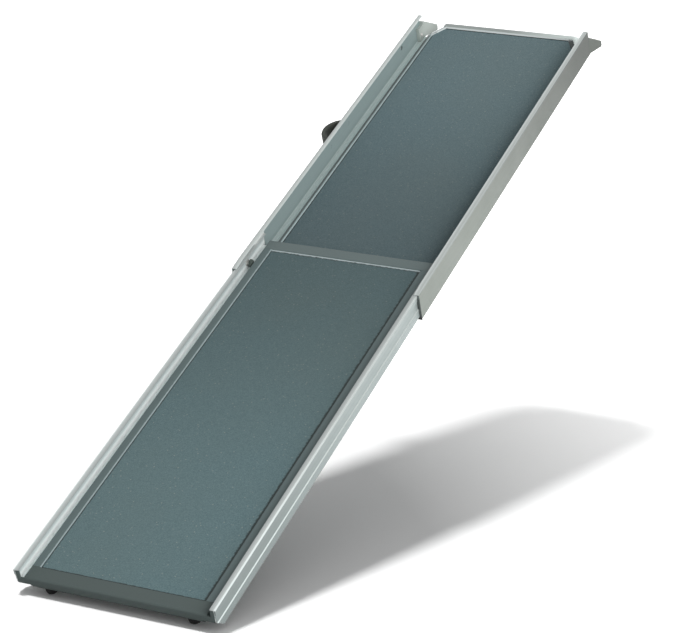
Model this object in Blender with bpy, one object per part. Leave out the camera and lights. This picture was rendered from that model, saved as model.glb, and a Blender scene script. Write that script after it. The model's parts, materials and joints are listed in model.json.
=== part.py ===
# Telescoping dog ramp: a lower section that slides inside an upper section.
# Lengths are in metres. +Y runs up the ramp, +X is its right-hand side and +Z is square to the deck.
import math

import bmesh
import bpy
from mathutils import Matrix, Vector

# Fits between pieces
SEAT_GAP = 0.0003        # between two pieces fixed to each other
RUN_GAP = 0.0004         # between a glide and the rail that runs on it
GLIDE_WALL = 0.0017      # thickness of the nylon liners between the nested rails
DECK_GAP = 0.0019        # from the upper deck to the ledge that passes over it
CUT_PAST = 0.010         # how far a cutter runs on past the face it opens
TOE_GAP = 0.0085         # from the lower rail's toe to the side of the upper deck

# Upper rails: the outer, taller channels
RAMP_WIDTH = 0.383
UPPER_RAIL_LENGTH = 0.926
UPPER_RAIL_HEIGHT = 0.055
UPPER_WALL = 0.0020
UPPER_FLANGE = 0.0022
UPPER_RIM = 0.010
UPPER_SHELF = 0.032
RIM_ROUND = 0.0030
MOUTH_CRIMP_RUN = 0.031
MOUTH_CRIMP_DROP = 0.0020

# Lower rails: the channels that nest inside
SECTION_OVERLAP = 0.121
LOWER_RAIL_LENGTH = 0.970
LOWER_RAIL_HEIGHT = 0.045
LOWER_WALL = 0.0033
LOWER_FLANGE = 0.0020
LOWER_RIM = 0.010
LOWER_TOE = 0.0116
LEDGE_REACH = 0.027
GROOVE_DEPTH = 0.0015
GROOVE_SLOPE = 0.0010
GROOVE_BOTTOM = 0.0158
GROOVE_TOP = 0.0340
LOWER_RIM_ROUND = 0.0020
GROUND_BEVEL = 0.018

# Sliding and locking
TRAVEL = 0.780
LOCK_FROM_RAIL_END = 0.076
LOCK_HEIGHT = 0.034
PIN_RADIUS = 0.0040
PIN_HOLE_GAP = 0.0005
PIN_STROKE = 0.0035
PIN_PROUD = 0.0010       # how far the engaged pin stands out of the upper rail
BUSH_RADIUS = 0.0070
BUSH_LENGTH = 0.0025
BUSH_BORE_GAP = 0.0003
PIN_CHAMFER = 0.0008
PIN_IN_KNOB = 0.0030
KNOB_RADIUS = 0.0072
KNOB_LOBE_RISE = 0.0006
KNOB_LOBES = 6
KNOB_THICKNESS = 0.0048

# Decks
UPPER_DECK_HEIGHT = 0.0151
UPPER_DECK_STEP = 0.0045
UPPER_DECK_STEP_DROP = 0.0015
UPPER_DECK_BEAD = 0.0050
UPPER_DECK_SHORT_OF_MOUTH = 0.011
UPPER_DECK_PAST_RAIL = 0.024
CORNER_CUT_X = 0.021
CORNER_CUT_Y = 0.036
LOWER_DECK_HEIGHT = 0.0140
LOWER_DECK_BORDER = 0.0160
SIDE_CHANNEL = 0.0176    # open channel between the lower rail's outer face and its deck
HEADER_WIDTH = 0.0287
HEADER_PAST_RAIL = 0.0020
HEADER_ROUND = 0.0060
DECK_PLATE = 0.0024
DECK_SKIRT = 0.0040
DECK_RIB = 0.0030
RIB_COLUMNS = 6
RIB_PITCH = 0.075
MAT_THICKNESS = 0.0013
TREAD_CHAMFER = 0.0012   # bevel round the openings that the mats lie in
UPPER_MAT_RECESS = 0.0027
LOWER_MAT_RECESS = 0.0032

# Crossmembers: rectangular tubes let into the undersides of the decks
TUBE_WIDTH = 0.024
TUBE_WALL = 0.0015
TUBE_FROM_END = 0.060

# Nose of the lower section and its feet
NOSE_LENGTH = 0.030
NOSE_PAST_RAIL = 0.0005
NOSE_UNDERSIDE = 0.012
NOSE_ROUND = 0.0030
NOSE_BEVEL_RISE = 0.009
NOSE_BEVEL_RUN = 0.0065
NOSE_POCKET_DEPTH = 0.018
PLUG_DEPTH = 0.0030
PLUG_ROOT = 0.0020
FOOT_FROM_SIDE = 0.036
FOOT_RADIUS = 0.012
FOOT_TAPER = 0.0015
FOOT_EDGE = 0.0012
FOOT_HEIGHT = 0.0132
FOOT_FROM_NOSE = 0.0185

# Lip and end caps at the top
LIP_STRIP = 0.014
LIP_STRIP_FLAT = 0.0065
LIP_STRIP_FALL = 0.0016
LIP_REACH = 0.070
LIP_TIP_TOP = -0.006
LIP_DROP = 0.021
LIP_HEEL = 0.006
LIP_TIP_ROUND = 0.0050
LIP_TANG = 0.028
LIP_RIB = 0.004
LIP_POCKETS = 6
CAP_HEIGHT = 0.037
CAP_THICKNESS = 0.009
CAP_PLUG_STEP = 0.004
GRIP_LENGTH = 0.020
GRIP_WIDTH = 0.282
GRIP_THICKNESS = 0.0022
GRIP_PROUD = 0.0010
GRIP_FROM_HEEL = 0.042

# Carry handle on the outside of the upper left rail
HANDLE_FROM_TOP = 0.431
HANDLE_HEIGHT = 0.030
HANDLE_REACH = 0.033
HANDLE_ARCH_RADIUS = 0.041
HANDLE_PAD = 0.018
HANDLE_THICKNESS = 0.0090
HANDLE_PAD_THICKNESS = 0.0045
HANDLE_DEPTH = 0.024
HANDLE_PAD_DEPTH = 0.026
HANDLE_TAPER = 0.25      # share of each side of the arch over which the pad grows into the grip
HANDLE_ROUNDNESS = 0.7
RIVET_RADIUS = 0.0024
RIVET_HEAD_RADIUS = 0.0045
RIVET_SINK = 0.0013
RIVET_BELOW_FACE = 0.0002
RIVET_IN_PAD = 0.0034

# Glides and stops
MOUTH_GLIDE_LENGTH = 0.031
MOUTH_GLIDE_HEIGHT = 0.045
MOUTH_FLANGE = 0.0014
MOUTH_FLANGE_TOP = 0.043
MOUTH_LUG = 0.0024
TAIL_GLIDE_LENGTH = 0.040
TAIL_PAST_RAIL = 0.0020
STOP_LENGTH = 0.012
STOP_LOW = 0.0060
STOP_HIGH = 0.0180

# Places that follow from the sizes above
upper_out = RAMP_WIDTH / 2
upper_in = upper_out - UPPER_WALL
lower_out = upper_in - SEAT_GAP - GLIDE_WALL - RUN_GAP
lower_in = lower_out - LOWER_WALL
lower_base = UPPER_FLANGE + SEAT_GAP + GLIDE_WALL + RUN_GAP
lower_top = lower_base + LOWER_RAIL_HEIGHT
upper_mouth = -UPPER_RAIL_LENGTH
lower_head = upper_mouth + SECTION_OVERLAP
lower_tail = lower_head - LOWER_RAIL_LENGTH
upper_deck_half = lower_out - LOWER_TOE - TOE_GAP
upper_deck_base = UPPER_FLANGE + SEAT_GAP
upper_deck_top = upper_deck_base + UPPER_DECK_HEIGHT
ledge_base = upper_deck_top + DECK_GAP
ledge_top = ledge_base + LOWER_FLANGE
lower_deck_half = lower_out - SIDE_CHANNEL
lower_deck_base = ledge_top + SEAT_GAP
lower_deck_top = lower_deck_base + LOWER_DECK_HEIGHT
header_top = lower_head + HEADER_PAST_RAIL
nose_front = lower_tail - NOSE_PAST_RAIL
nose_back = nose_front + NOSE_LENGTH
lock_y = lower_head - LOCK_FROM_RAIL_END
lip_slope = math.atan2(LIP_DROP, LIP_REACH - LIP_TIP_ROUND / 2 - LIP_HEEL)
handle_arch = HANDLE_ARCH_RADIUS - HANDLE_THICKNESS / 2
handle_centre = upper_out + HANDLE_REACH - HANDLE_ARCH_RADIUS
handle_pad_x = upper_out + SEAT_GAP + HANDLE_PAD_THICKNESS / 2
handle_open = math.acos((handle_pad_x - handle_centre) / handle_arch)
handle_pad_offset = handle_arch * math.sin(handle_open) + HANDLE_PAD / 2
grip_along = Vector((0, math.cos(lip_slope), -math.sin(lip_slope)))
grip_down = Vector((0, -math.sin(lip_slope), -math.cos(lip_slope)))
lip_rest = Vector((0, LIP_HEEL, 0)) + grip_along * GRIP_FROM_HEEL + grip_down * GRIP_PROUD


# Shape helpers
def arc(cx, cy, radius, start, end, steps):
    """Points on a circle from one angle in degrees to another."""
    points = []
    for i in range(steps + 1):
        angle = math.radians(start + (end - start) * i / steps)
        points.append((cx + radius * math.cos(angle), cy + radius * math.sin(angle)))
    return points


def new_object(name, mesh_builder, material, parent):
    mesh = bpy.data.meshes.new(name)
    mesh_builder.normal_update()
    mesh_builder.to_mesh(mesh)
    mesh_builder.free()
    obj = bpy.data.objects.new(name, mesh)
    bpy.context.collection.objects.link(obj)
    if material is not None:
        mesh.materials.append(material)
    if parent is not None:
        obj.parent = parent
        obj.location = -parent_place[parent.name]
    return obj


def skin(bm, rings):
    """Join a run of equal rings of points into one closed body."""
    rings = [[bm.verts.new(point) for point in ring] for ring in rings]
    for below, above in zip(rings, rings[1:]):
        for i in range(len(below)):
            j = (i + 1) % len(below)
            bm.faces.new([below[i], below[j], above[j], above[i]])
    bm.faces.new(rings[0])
    bm.faces.new(rings[-1])
    bmesh.ops.recalc_face_normals(bm, faces=bm.faces[:])
    return bm


def prism(bm, outline, axis, low, high):
    """Extrude a closed outline along X, Y or Z. Outline pairs are (Y, Z), (X, Z) or (X, Y)."""
    place = {
        "X": lambda a, b, t: (t, a, b),
        "Y": lambda a, b, t: (a, t, b),
        "Z": lambda a, b, t: (a, b, t),
    }[axis]
    return skin(bm, [[place(a, b, t) for a, b in outline] for t in (low, high)])


def box(bm, x0, x1, y0, y1, z0, z1):
    """Add a plain box between two corners."""
    outline = [(x0, y0), (x1, y0), (x1, y1), (x0, y1)]
    return prism(bm, outline, "Z", z0, z1)


def turned(bm, profile, centre, axis, steps):
    """Turn (radius, height) points about an axis through a centre; both ends close at radius 0."""
    turn = {"X": Matrix.Rotation(math.radians(90), 3, "Y"), "Z": Matrix.Identity(3)}[axis]
    rings = []
    for radius, height in profile:
        if radius == 0:
            rings.append([bm.verts.new(centre + turn @ Vector((0, 0, height)))])
            continue
        ring = []
        for i in range(steps):
            angle = 2 * math.pi * i / steps
            point = Vector((radius * math.cos(angle), radius * math.sin(angle), height))
            ring.append(bm.verts.new(centre + turn @ point))
        rings.append(ring)
    for below, above in zip(rings, rings[1:]):
        for i in range(steps):
            j = (i + 1) % steps
            near = [below[i % len(below)], below[j % len(below)]]
            far = [above[j % len(above)], above[i % len(above)]]
            bm.faces.new(list(dict.fromkeys(near + far)))
    bmesh.ops.recalc_face_normals(bm, faces=bm.faces[:])
    return bm


def mirrored(outline, side):
    """Flip an outline of (X, ...) pairs to the given side of the ramp."""
    return [(side * a, b) for a, b in outline]


def cut(target, bm, parent=None):
    """Take a cutter away from a piece with a live Boolean."""
    cutter = new_object(target.name + "_cutter", bm, None, parent or target.parent)
    cutter.hide_render = True
    cutter.display_type = "WIRE"
    modifier = target.modifiers.new("cut", "BOOLEAN")
    modifier.operation = "DIFFERENCE"
    modifier.solver = "EXACT"
    modifier.object = cutter


def join(target, bm):
    """Fuse a second shape into a piece with a live Boolean."""
    addition = new_object(target.name + "_addition", bm, None, target.parent)
    addition.hide_render = True
    addition.display_type = "WIRE"
    modifier = target.modifiers.new("join", "BOOLEAN")
    modifier.operation = "UNION"
    modifier.solver = "EXACT"
    modifier.object = addition


def smooth(obj, angle=35):
    obj.data.shade_smooth()
    obj.data.set_sharp_from_angle(angle=math.radians(angle))


def finish_material(name, colour, roughness, metallic):
    material = bpy.data.materials.new(name)
    material.use_nodes = True
    shader = material.node_tree.nodes["Principled BSDF"]
    shader.inputs["Base Color"].default_value = (*colour, 1)
    shader.inputs["Roughness"].default_value = roughness
    shader.inputs["Metallic"].default_value = metallic
    return material


# Scene, materials and the frames that carry each section
for old in list(bpy.data.objects):
    bpy.data.objects.remove(old)

aluminium = finish_material("anodised_aluminium", (0.62, 0.65, 0.64), 0.38, 1.0)
tread = finish_material("grit_tread", (0.095, 0.135, 0.145), 0.95, 0.0)
moulding = finish_material("moulded_plastic", (0.095, 0.118, 0.115), 0.55, 0.0)
cap_plastic = finish_material("cap_plastic", (0.165, 0.185, 0.165), 0.55, 0.0)
nylon = finish_material("black_nylon", (0.020, 0.022, 0.022), 0.45, 0.0)
natural_nylon = finish_material("natural_nylon", (0.62, 0.60, 0.54), 0.45, 0.0)
rubber = finish_material("black_rubber", (0.012, 0.012, 0.012), 0.85, 0.0)
steel = finish_material("zinc_steel", (0.55, 0.55, 0.53), 0.30, 1.0)

parent_place = {}


def carrier(name, parent, place):
    """An empty that carries one section; the pieces keep their places in the ramp's own frame."""
    empty = bpy.data.objects.new(name, None)
    bpy.context.collection.objects.link(empty)
    parent_place[name] = place
    if parent is None:
        empty.location = place - lip_rest
    else:
        empty.parent = parent
        empty.location = place - parent_place[parent.name]
    return empty


upper_section = carrier("upper_section", None, Vector((0, 0, 0)))
lower_section = carrier("lower_section", upper_section, Vector((0, lower_head, lower_base)))
lock = carrier("lock", lower_section, Vector((-lower_in, lock_y, LOCK_HEIGHT)))


# Upper rails: extruded channels with a rim on top and a shelf under the deck
def upper_rail_outline(side, drop):
    top = UPPER_RAIL_HEIGHT - drop
    outline = [(upper_out - UPPER_SHELF, 0), (upper_out, 0)]
    outline += arc(upper_out - RIM_ROUND, top - RIM_ROUND, RIM_ROUND, 0, 90, 5)
    outline += [
        (upper_out - UPPER_RIM, top),
        (upper_out - UPPER_RIM, top - UPPER_FLANGE),
        (upper_in, top - UPPER_FLANGE),
        (upper_in, UPPER_FLANGE),
        (upper_out - UPPER_SHELF, UPPER_FLANGE),
    ]
    return mirrored(outline, side)


def round_cutter(bm, radius, x0, x1, y, z, steps=24):
    outline = [(y + a, z + b) for a, b in arc(0, 0, radius, 0, 360, steps)[:-1]]
    return prism(bm, outline, "X", x0, x1)


def rivet_cutter(place):
    """The countersunk hole of a rivet through the upper left rail, with the fit all round."""
    profile = [
        (0, -upper_out - CUT_PAST),
        (RIVET_RADIUS + SEAT_GAP, -upper_out - CUT_PAST),
        (RIVET_RADIUS + SEAT_GAP, -upper_in - RIVET_SINK - SEAT_GAP),
        (RIVET_HEAD_RADIUS + SEAT_GAP, -upper_in - RIVET_BELOW_FACE - SEAT_GAP),
        (RIVET_HEAD_RADIUS + SEAT_GAP, -upper_in + CUT_PAST),
        (0, -upper_in + CUT_PAST),
    ]
    return turned(bmesh.new(), profile, place, "X", 16)


for side, side_name in ((-1, "left"), (1, "right")):
    stations = ((upper_mouth, MOUTH_CRIMP_DROP), (upper_mouth + MOUTH_CRIMP_RUN, 0), (0, 0))
    bm = skin(bmesh.new(), [[(a, y, b) for a, b in upper_rail_outline(side, drop)] for y, drop in stations])
    rail = new_object("upper_rail_" + side_name, bm, aluminium, upper_section)
    if side < 0:
        for y in (lock_y, lock_y + TRAVEL):
            cut(rail, round_cutter(bmesh.new(), PIN_RADIUS + PIN_HOLE_GAP, -upper_out - CUT_PAST,
                                   -upper_in + CUT_PAST, y, LOCK_HEIGHT))
        for end in (-1, 1):
            place = Vector((0, -HANDLE_FROM_TOP + end * handle_pad_offset, HANDLE_HEIGHT))
            cut(rail, rivet_cutter(place))
    smooth(rail)


# Lower rails: channels with a grooved outer face, a rim, a ledge for the deck and a short toe
def lower_rail_outline(side):
    corner = arc(lower_out - LOWER_RIM_ROUND, lower_top - LOWER_RIM_ROUND, LOWER_RIM_ROUND, 0, 90, 4)
    outline = [
        (lower_out - LOWER_TOE, lower_base),
        (lower_out, lower_base),
        (lower_out, lower_base + GROOVE_BOTTOM),
        (lower_out - GROOVE_DEPTH, lower_base + GROOVE_BOTTOM + GROOVE_SLOPE),
        (lower_out - GROOVE_DEPTH, lower_base + GROOVE_TOP - GROOVE_SLOPE),
        (lower_out, lower_base + GROOVE_TOP),
    ]
    outline += corner
    outline += [
        (lower_out - LOWER_RIM, lower_top),
        (lower_out - LOWER_RIM, lower_top - LOWER_FLANGE),
        (lower_in, lower_top - LOWER_FLANGE),
        (lower_in, ledge_top),
        (lower_out - LEDGE_REACH, ledge_top),
        (lower_out - LEDGE_REACH, ledge_base),
        (lower_in, ledge_base),
        (lower_in, lower_base + LOWER_FLANGE),
        (lower_out - LOWER_TOE, lower_base + LOWER_FLANGE),
    ]
    return mirrored(outline, side)


for side, side_name in ((-1, "left"), (1, "right")):
    bm = prism(bmesh.new(), lower_rail_outline(side), "Y", lower_tail, lower_head)
    rail = new_object("lower_rail_" + side_name, bm, aluminium, lower_section)
    bevel = [
        (lower_tail - CUT_PAST, lower_base + GROUND_BEVEL + CUT_PAST),
        (lower_tail + GROUND_BEVEL + CUT_PAST, lower_base - CUT_PAST),
        (lower_tail - CUT_PAST, lower_base - CUT_PAST),
    ]
    cut(rail, prism(bmesh.new(), bevel, "X", -RAMP_WIDTH, RAMP_WIDTH))
    if side < 0:
        cut(rail, round_cutter(bmesh.new(), PIN_RADIUS + PIN_HOLE_GAP, -lower_out - CUT_PAST,
                               -lower_in + CUT_PAST, lock_y, LOCK_HEIGHT))
    smooth(rail)


# Decks: mouldings with a recess for the mat, a skirt and a grid of ribs underneath
def upper_deck_outline(inset, top_inset=0):
    """The upper deck's plan with its two top corners cut off, drawn in by an inset."""
    lean = math.hypot(CORNER_CUT_X, CORNER_CUT_Y)
    cut_start = UPPER_DECK_PAST_RAIL - CORNER_CUT_Y - inset * (lean - CORNER_CUT_Y) / CORNER_CUT_X
    corner = CORNER_CUT_X + (inset * lean - top_inset * CORNER_CUT_X) / CORNER_CUT_Y
    right = [
        (upper_deck_half - inset, upper_deck_low + inset),
        (upper_deck_half - inset, cut_start),
        (upper_deck_half - corner, UPPER_DECK_PAST_RAIL - top_inset),
    ]
    return right + [(-x, y) for x, y in reversed(right)]


def rib_pockets(bm, half, low, high, base, plate):
    """Boxes between the ribs, cut up into a deck from below."""
    columns = RIB_COLUMNS
    rows = max(2, round((high - low) / RIB_PITCH))
    width = (2 * half - (columns + 1) * DECK_RIB) / columns
    length = (high - low - (rows + 1) * DECK_RIB) / rows
    for i in range(columns):
        x = -half + DECK_RIB + i * (width + DECK_RIB)
        for j in range(rows):
            y = low + DECK_RIB + j * (length + DECK_RIB)
            box(bm, x, x + width, y, y + length, base - CUT_PAST, plate)
    return bm


def tube_places(low, high):
    """The three crossmembers: one near each end and one midway."""
    return [high - TUBE_FROM_END, (low + high) / 2, low + TUBE_FROM_END]


def crossmember(name, y, base, height, half, parent):
    """A rectangular tube across the ramp, open at both ends."""
    low, high = y - TUBE_WIDTH / 2, y + TUBE_WIDTH / 2
    outline = [(low, base), (high, base), (high, base + height), (low, base + height)]
    tube = new_object(name, prism(bmesh.new(), outline, "X", -half, half), aluminium, parent)
    bore = [
        (low + TUBE_WALL, base + TUBE_WALL), (high - TUBE_WALL, base + TUBE_WALL),
        (high - TUBE_WALL, base + height - TUBE_WALL), (low + TUBE_WALL, base + height - TUBE_WALL),
    ]
    cut(tube, prism(bmesh.new(), bore, "X", -half - CUT_PAST, half + CUT_PAST))
    return tube


def tube_slots(bm, places, base, height, half):
    for y in places:
        reach = TUBE_WIDTH / 2 + SEAT_GAP
        box(bm, -half - CUT_PAST, half + CUT_PAST, y - reach, y + reach,
            base - CUT_PAST, base + height + SEAT_GAP)
    return bm


# Upper deck
upper_deck_low = upper_mouth + UPPER_DECK_SHORT_OF_MOUTH
upper_mat_floor = upper_deck_top - UPPER_MAT_RECESS
upper_plate_base = upper_mat_floor - DECK_PLATE
upper_tube_height = upper_plate_base - SEAT_GAP - upper_deck_base
upper_tubes = tube_places(upper_deck_low, 0)
lip_tang_back = -LIP_TANG

upper_mat_inset = UPPER_DECK_STEP + UPPER_DECK_BEAD
bm = prism(bmesh.new(), upper_deck_outline(0), "Z", upper_deck_base, upper_deck_top - UPPER_DECK_STEP_DROP)
upper_deck = new_object("upper_deck_panel", bm, moulding, upper_section)
join(upper_deck, prism(bmesh.new(), upper_deck_outline(UPPER_DECK_STEP), "Z",
                       upper_deck_top - 2 * UPPER_DECK_STEP_DROP, upper_deck_top))
chamfer_rings = []
for z, grown in ((upper_mat_floor, 0), (upper_deck_top - TREAD_CHAMFER, 0),
                 (upper_deck_top, TREAD_CHAMFER), (upper_deck_top + CUT_PAST, TREAD_CHAMFER)):
    outline = upper_deck_outline(upper_mat_inset - grown, UPPER_DECK_BEAD - grown)
    chamfer_rings.append([(x, y, z) for x, y in outline])
cut(upper_deck, skin(bmesh.new(), chamfer_rings))
rib_low = upper_deck_low + DECK_SKIRT - DECK_RIB
rib_high = lip_tang_back - DECK_SKIRT + DECK_RIB - SEAT_GAP
cut(upper_deck, rib_pockets(bmesh.new(), upper_deck_half - DECK_SKIRT + DECK_RIB, rib_low, rib_high,
                            upper_deck_base, upper_plate_base))
cut(upper_deck, box(bmesh.new(), -upper_deck_half - CUT_PAST, upper_deck_half + CUT_PAST,
                    lip_tang_back - SEAT_GAP, UPPER_DECK_PAST_RAIL + CUT_PAST,
                    upper_deck_base - CUT_PAST, upper_plate_base))
cut(upper_deck, tube_slots(bmesh.new(), upper_tubes, upper_deck_base, upper_tube_height, upper_deck_half))

bm = prism(bmesh.new(), upper_deck_outline(upper_mat_inset + SEAT_GAP, UPPER_DECK_BEAD + SEAT_GAP), "Z",
           upper_mat_floor + SEAT_GAP, upper_mat_floor + SEAT_GAP + MAT_THICKNESS)
new_object("upper_tread_mat", bm, tread, upper_section)

for y, place_name in zip(upper_tubes, ("top", "middle", "mouth")):
    crossmember("upper_crossmember_" + place_name, y, upper_deck_base, upper_tube_height,
                upper_deck_half - SEAT_GAP, upper_section)

# Lower deck: side borders on the panel, and end borders on the header and the nose
lower_mat_floor = lower_deck_top - LOWER_MAT_RECESS
lower_plate_base = lower_mat_floor - DECK_PLATE
lower_tube_height = lower_plate_base - SEAT_GAP - lower_deck_base
panel_high = header_top - HEADER_WIDTH - SEAT_GAP
panel_low = nose_back + SEAT_GAP
lower_tubes = tube_places(panel_low, panel_high)
mat_half = lower_deck_half - LOWER_DECK_BORDER - SEAT_GAP

bm = box(bmesh.new(), -lower_deck_half, lower_deck_half, panel_low, panel_high,
         lower_deck_base, lower_deck_top)
lower_deck = new_object("lower_deck_panel", bm, moulding, lower_section)
opening = mat_half + SEAT_GAP
flare = opening + TREAD_CHAMFER + CUT_PAST
recess = [
    (-opening, lower_mat_floor), (opening, lower_mat_floor), (opening, lower_deck_top - TREAD_CHAMFER),
    (flare, lower_deck_top + CUT_PAST), (-flare, lower_deck_top + CUT_PAST),
    (-opening, lower_deck_top - TREAD_CHAMFER),
]
cut(lower_deck, prism(bmesh.new(), recess, "Y", panel_low - CUT_PAST, panel_high + CUT_PAST))
cut(lower_deck, rib_pockets(bmesh.new(), lower_deck_half - DECK_SKIRT + DECK_RIB,
                            panel_low + DECK_SKIRT - DECK_RIB,
                            panel_high - DECK_SKIRT + DECK_RIB, lower_deck_base, lower_plate_base))
cut(lower_deck, tube_slots(bmesh.new(), lower_tubes, lower_deck_base, lower_tube_height, lower_deck_half))

bm = box(bmesh.new(), -mat_half, mat_half, panel_low, panel_high, lower_mat_floor + SEAT_GAP,
         lower_mat_floor + SEAT_GAP + MAT_THICKNESS)
new_object("lower_tread_mat", bm, tread, lower_section)

for y, place_name in zip(lower_tubes, ("top", "middle", "nose")):
    crossmember("lower_crossmember_" + place_name, y, lower_deck_base, lower_tube_height,
                lower_deck_half - SEAT_GAP, lower_section)


def opening_chamfer(y, inward):
    """A wedge along the end of the lower tread's opening, across its width."""
    reach = inward * (TREAD_CHAMFER + CUT_PAST)
    outline = [
        (y - inward * CUT_PAST, lower_deck_top - TREAD_CHAMFER - CUT_PAST),
        (y + reach, lower_deck_top + CUT_PAST),
        (y - inward * CUT_PAST, lower_deck_top + CUT_PAST),
    ]
    return prism(bmesh.new(), outline, "X", -opening, opening)


# Header: the moulded bar across the top of the lower deck, hollow below
header_outline = [(header_top - HEADER_WIDTH, lower_deck_base), (header_top, lower_deck_base)]
header_outline += arc(header_top - HEADER_ROUND, lower_deck_top - HEADER_ROUND, HEADER_ROUND, 0, 90, 6)
header_outline += [(header_top - HEADER_WIDTH, lower_deck_top)]
bm = prism(bmesh.new(), header_outline, "X", -lower_deck_half, lower_deck_half)
header = new_object("lower_deck_header", bm, moulding, lower_section)
cut(header, rib_pockets(bmesh.new(), lower_deck_half, header_top - HEADER_WIDTH, header_top,
                        lower_deck_base, lower_plate_base))
cut(header, opening_chamfer(header_top - HEADER_WIDTH, 1))
smooth(header)

# Nose: the bevelled end moulding, with plugs that close the ends of the two rails
nose_outline = [(nose_back, NOSE_UNDERSIDE), (nose_back, lower_deck_top)]
nose_outline += arc(nose_front + NOSE_ROUND, lower_deck_top - NOSE_ROUND, NOSE_ROUND, 90, 180, 5)
nose_outline += [
    (nose_front, NOSE_UNDERSIDE + NOSE_BEVEL_RISE),
    (nose_front + NOSE_BEVEL_RUN, NOSE_UNDERSIDE),
]
ledge_inner = lower_out - LEDGE_REACH - SEAT_GAP
bm = prism(bmesh.new(), nose_outline, "X", -lower_deck_half, lower_deck_half)
nose = new_object("nose_piece", bm, moulding, lower_section)
corner = bmesh.new()
for side in (-1, 1):
    low, high = sorted((side * ledge_inner, side * (lower_deck_half + CUT_PAST)))
    box(corner, low, high, nose_front - CUT_PAST, nose_back + CUT_PAST,
        NOSE_UNDERSIDE - CUT_PAST, lower_deck_base)
cut(nose, corner)
cut(nose, opening_chamfer(nose_back, -1))
plug_inner = lower_out - LOWER_RIM
plug_outer = lower_in - SEAT_GAP
plug_outline = [
    (lower_deck_half - PLUG_ROOT, lower_deck_base),
    (plug_outer, lower_deck_base),
    (plug_outer, lower_top - LOWER_FLANGE - SEAT_GAP),
    (plug_inner, lower_top - LOWER_FLANGE - SEAT_GAP),
    (plug_inner, lower_deck_top - NOSE_ROUND),
    (lower_deck_half - PLUG_ROOT, lower_deck_top - NOSE_ROUND),
]
for side in (-1, 1):
    join(nose, prism(bmesh.new(), mirrored(plug_outline, side), "Y", nose_front, nose_front + PLUG_DEPTH))
pocket = bmesh.new()
pocket_width = (2 * ledge_inner - (RIB_COLUMNS + 1) * DECK_RIB) / RIB_COLUMNS
foot_x = lower_deck_half - FOOT_FROM_SIDE
foot_y = nose_front + FOOT_FROM_NOSE
for i in range(RIB_COLUMNS):
    x = -ledge_inner + DECK_RIB + i * (pocket_width + DECK_RIB)
    centre = x + pocket_width / 2
    if abs(abs(centre) - foot_x) > FOOT_RADIUS:
        box(pocket, x, x + pocket_width, nose_front + NOSE_BEVEL_RUN + DECK_RIB, nose_back - DECK_RIB,
            NOSE_UNDERSIDE - CUT_PAST, NOSE_UNDERSIDE + NOSE_POCKET_DEPTH)
cut(nose, pocket)
smooth(nose)

# Rubber feet under the nose
for side, side_name in ((-1, "left"), (1, "right")):
    profile = [(0, 0), (FOOT_RADIUS - FOOT_TAPER - FOOT_EDGE, 0), (FOOT_RADIUS - FOOT_TAPER, FOOT_EDGE),
               (FOOT_RADIUS, FOOT_HEIGHT), (0, FOOT_HEIGHT)]
    centre = Vector((side * foot_x, foot_y, NOSE_UNDERSIDE - SEAT_GAP - FOOT_HEIGHT))
    bm = turned(bmesh.new(), profile, centre, "Z", 32)
    foot = new_object("foot_" + side_name, bm, rubber, lower_section)
    smooth(foot)

# Lip: the moulding that rests on the vehicle, sloping down past the end of the deck
strip_low = UPPER_DECK_PAST_RAIL + SEAT_GAP
strip_high = strip_low + LIP_STRIP
lip_half = upper_deck_half - CORNER_CUT_X
tip_y = LIP_REACH - LIP_TIP_ROUND


def lip_under(y):
    """Height of the sloping underside at a distance up the ramp."""
    return -(y - LIP_HEEL) * math.tan(lip_slope)


tip_low = lip_under(LIP_REACH - LIP_TIP_ROUND / 2)
tip_arc_low = [(LIP_REACH - LIP_TIP_ROUND / 2, tip_low)]
tip_arc_low += arc(tip_y, tip_low + LIP_TIP_ROUND, LIP_TIP_ROUND, -45, 0, 3)
tip_arc_high = arc(tip_y, LIP_TIP_TOP - LIP_TIP_ROUND, LIP_TIP_ROUND, 0, 50, 4)
lip_outline = [(lip_tang_back, upper_deck_base), (0, upper_deck_base), (LIP_HEEL, 0)]
lip_outline += tip_arc_low
lip_outline += tip_arc_high
lip_outline += [
    (strip_high, upper_deck_top - LIP_STRIP_FALL),
    (strip_low + LIP_STRIP_FLAT, upper_deck_top),
    (strip_low, upper_deck_top),
    (strip_low, upper_plate_base - SEAT_GAP),
    (lip_tang_back, upper_plate_base - SEAT_GAP),
]
bm = prism(bmesh.new(), lip_outline, "X", -lip_half, lip_half)
lip = new_object("top_lip", bm, cap_plastic, upper_section)
tang_outline = [(lip_tang_back, upper_deck_base), (-SEAT_GAP, upper_deck_base),
                (-SEAT_GAP, upper_plate_base - SEAT_GAP), (lip_tang_back, upper_plate_base - SEAT_GAP)]
join(lip, prism(bmesh.new(), tang_outline, "X", -upper_deck_half, upper_deck_half))
pocket = bmesh.new()
pocket_width = (2 * lip_half - (LIP_POCKETS + 1) * LIP_RIB) / LIP_POCKETS
pocket_outline = [
    (lip_tang_back + LIP_RIB, -LIP_DROP - CUT_PAST), (strip_low, -LIP_DROP - CUT_PAST),
    (strip_low, upper_deck_base + LIP_RIB), (lip_tang_back + LIP_RIB, upper_deck_base + LIP_RIB),
]
for i in range(LIP_POCKETS):
    x = -lip_half + LIP_RIB + i * (pocket_width + LIP_RIB)
    prism(pocket, pocket_outline, "X", x, x + pocket_width)
cut(lip, pocket)


def grip_block(bm, length, width, low, high):
    """A slab lying along the sloping underside, between two depths below it."""
    centre = Vector((0, LIP_HEEL, 0)) + grip_along * GRIP_FROM_HEEL
    rings = []
    for x in (-width / 2, width / 2):
        ring = []
        for along, down in ((-1, low), (1, low), (1, high), (-1, high)):
            ring.append(centre + Vector((x, 0, 0)) + grip_along * along * length / 2 + grip_down * down)
        rings.append(ring)
    return skin(bm, rings)


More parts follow.
